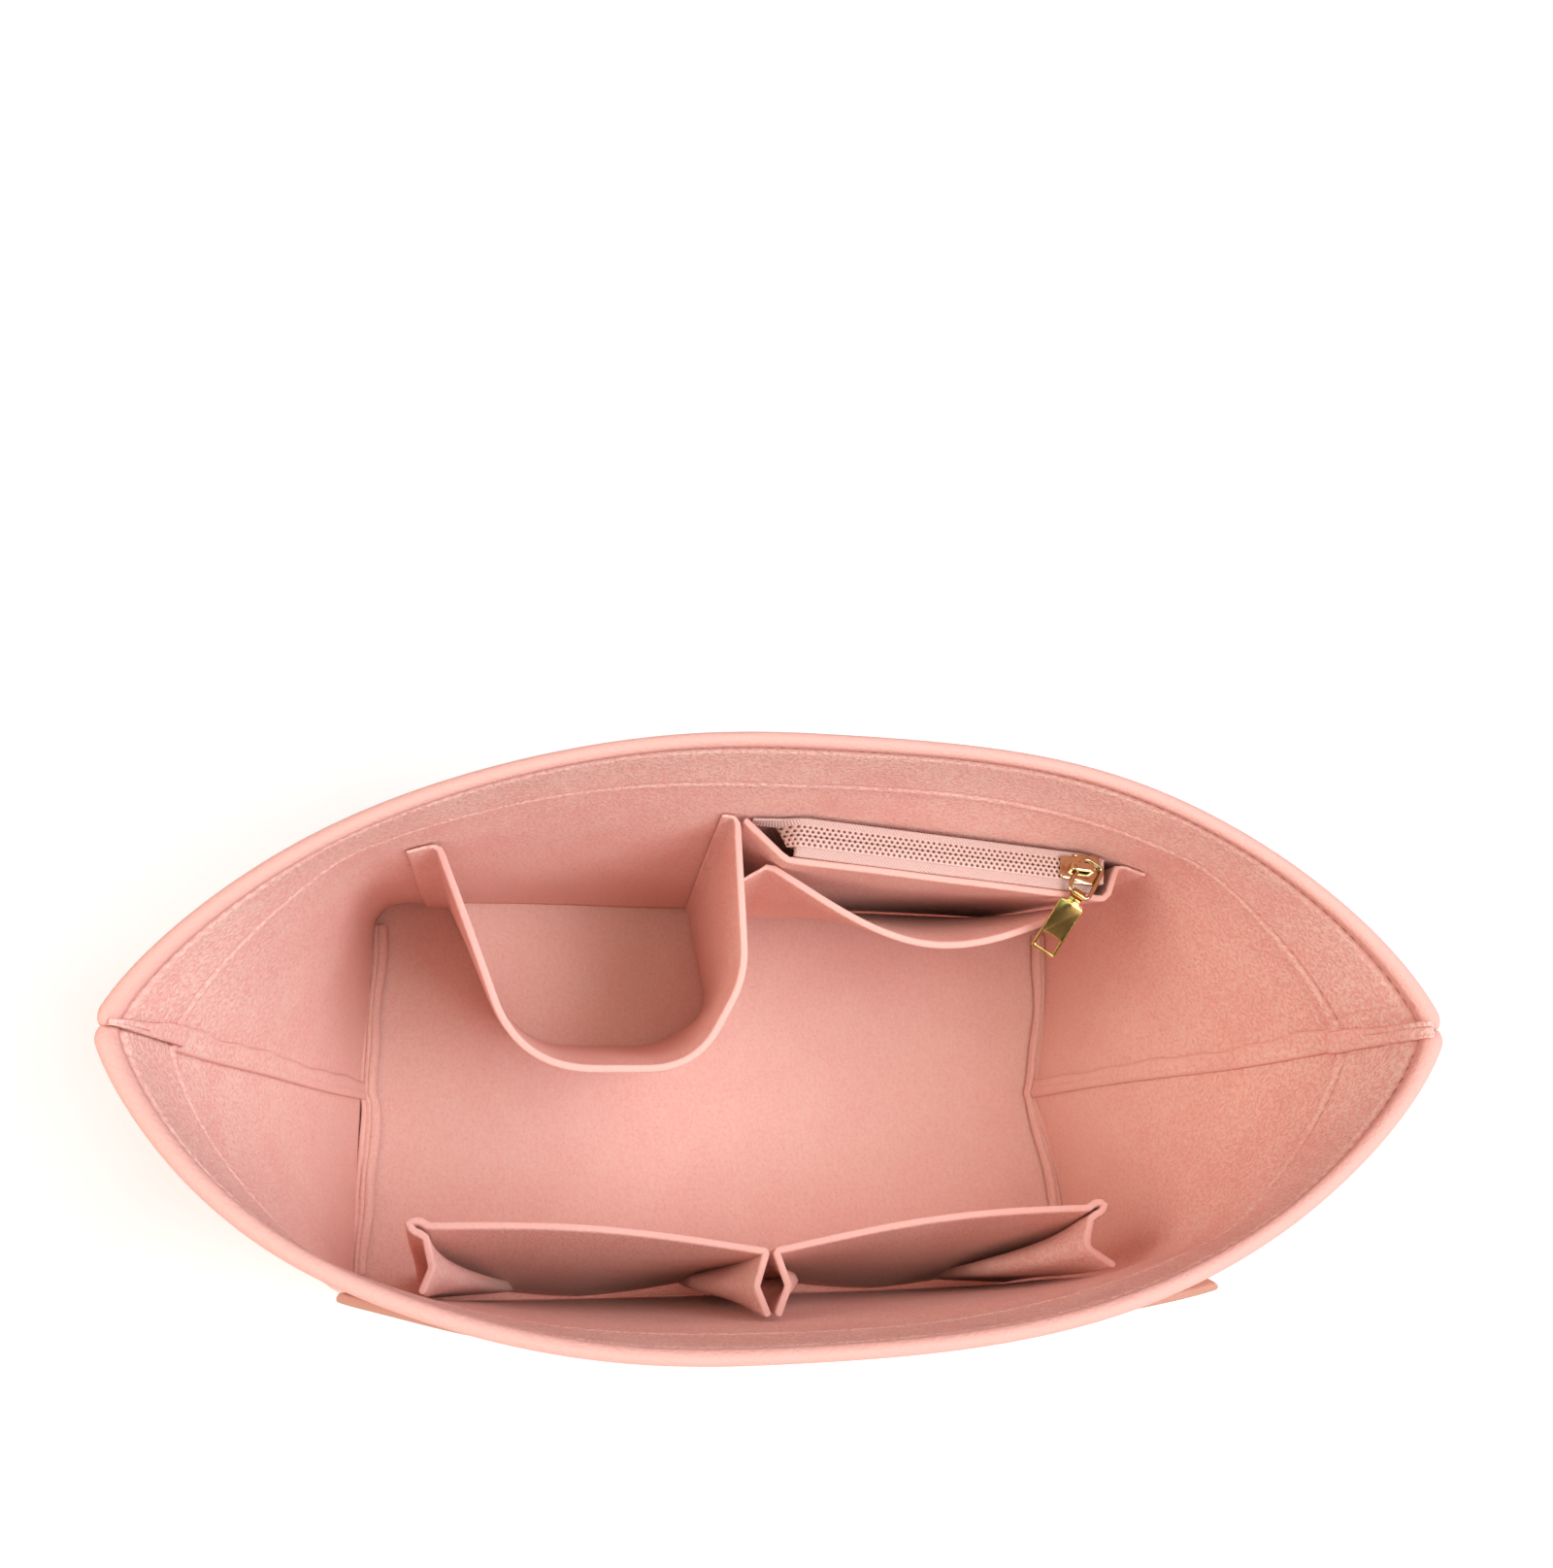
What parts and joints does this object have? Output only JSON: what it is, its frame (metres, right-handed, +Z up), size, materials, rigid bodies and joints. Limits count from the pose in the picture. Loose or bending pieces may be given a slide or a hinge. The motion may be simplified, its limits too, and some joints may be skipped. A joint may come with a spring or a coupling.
{
  "type": "purse organizer insert",
  "caption": "Soft felt bag liner with a pointed oval mouth, a flat rectangular base, sewn inner pockets, an outer slip pocket and a small zipped pocket with a metal pull.",
  "frame": {"origin": "middle of the underside of the base, in the plane of the two side seams", "axes": "+X along the mouth to the right seam, +Y to the rear wall with the zip, +Z up"},
  "size_m": [0.4034, 0.1857, 0.2],
  "materials": {
    "felt": "soft pink needle felt",
    "zip_tape": "woven herringbone tape",
    "zip_coil": "nylon coil",
    "gold_metal": "polished pale gold plating"
  },
  "bodies": {
    "insert": {"base_panel": "felt", "front_wall": "felt", "rear_wall": "felt", "left_seam_strip": "felt", "right_seam_strip": "felt", "left_base_strip": "felt", "right_base_strip": "felt", "bottle_pocket": "felt", "zip_pocket_panel": "felt", "slip_pocket": "felt", "front_left_pocket": "felt", "front_right_pocket": "felt", "outer_pocket": "felt", "zip_rear_tape": "zip_tape", "zip_front_tape": "zip_tape", "zip_rear_coil": "zip_coil", "zip_front_coil": "zip_coil", "zip_rear_stop": "zip_coil", "zip_front_stop": "zip_coil", "zip_bottom_stop": "zip_coil"},
    "slider": {"zip_slider": "gold_metal"},
    "link": {"pull_link": "gold_metal"},
    "tab": {"pull_tab": "gold_metal"}
  },
  "joints": [
    {"name": "zip_slide", "type": "slide", "parent": "insert", "child": "slider", "axis": [-0.9947, 0.1025, 0], "range_m": [0, 0.09], "deforming": ["zip_rear_coil", "zip_front_coil"]},
    {"name": "link_swing", "type": "hinge", "parent": "slider", "child": "link", "pos_m": [0.11078, 0.06702, 0.13385], "axis": [-0.5282, -0.8491, 0], "range_deg": [0, 80]},
    {"name": "tab_swing", "type": "hinge", "parent": "link", "child": "tab", "pos_m": [0.1094, 0.05705, 0.13385], "axis": [-0.8491, 0.5282, 0], "range_deg": [0, 105]}
  ]
}
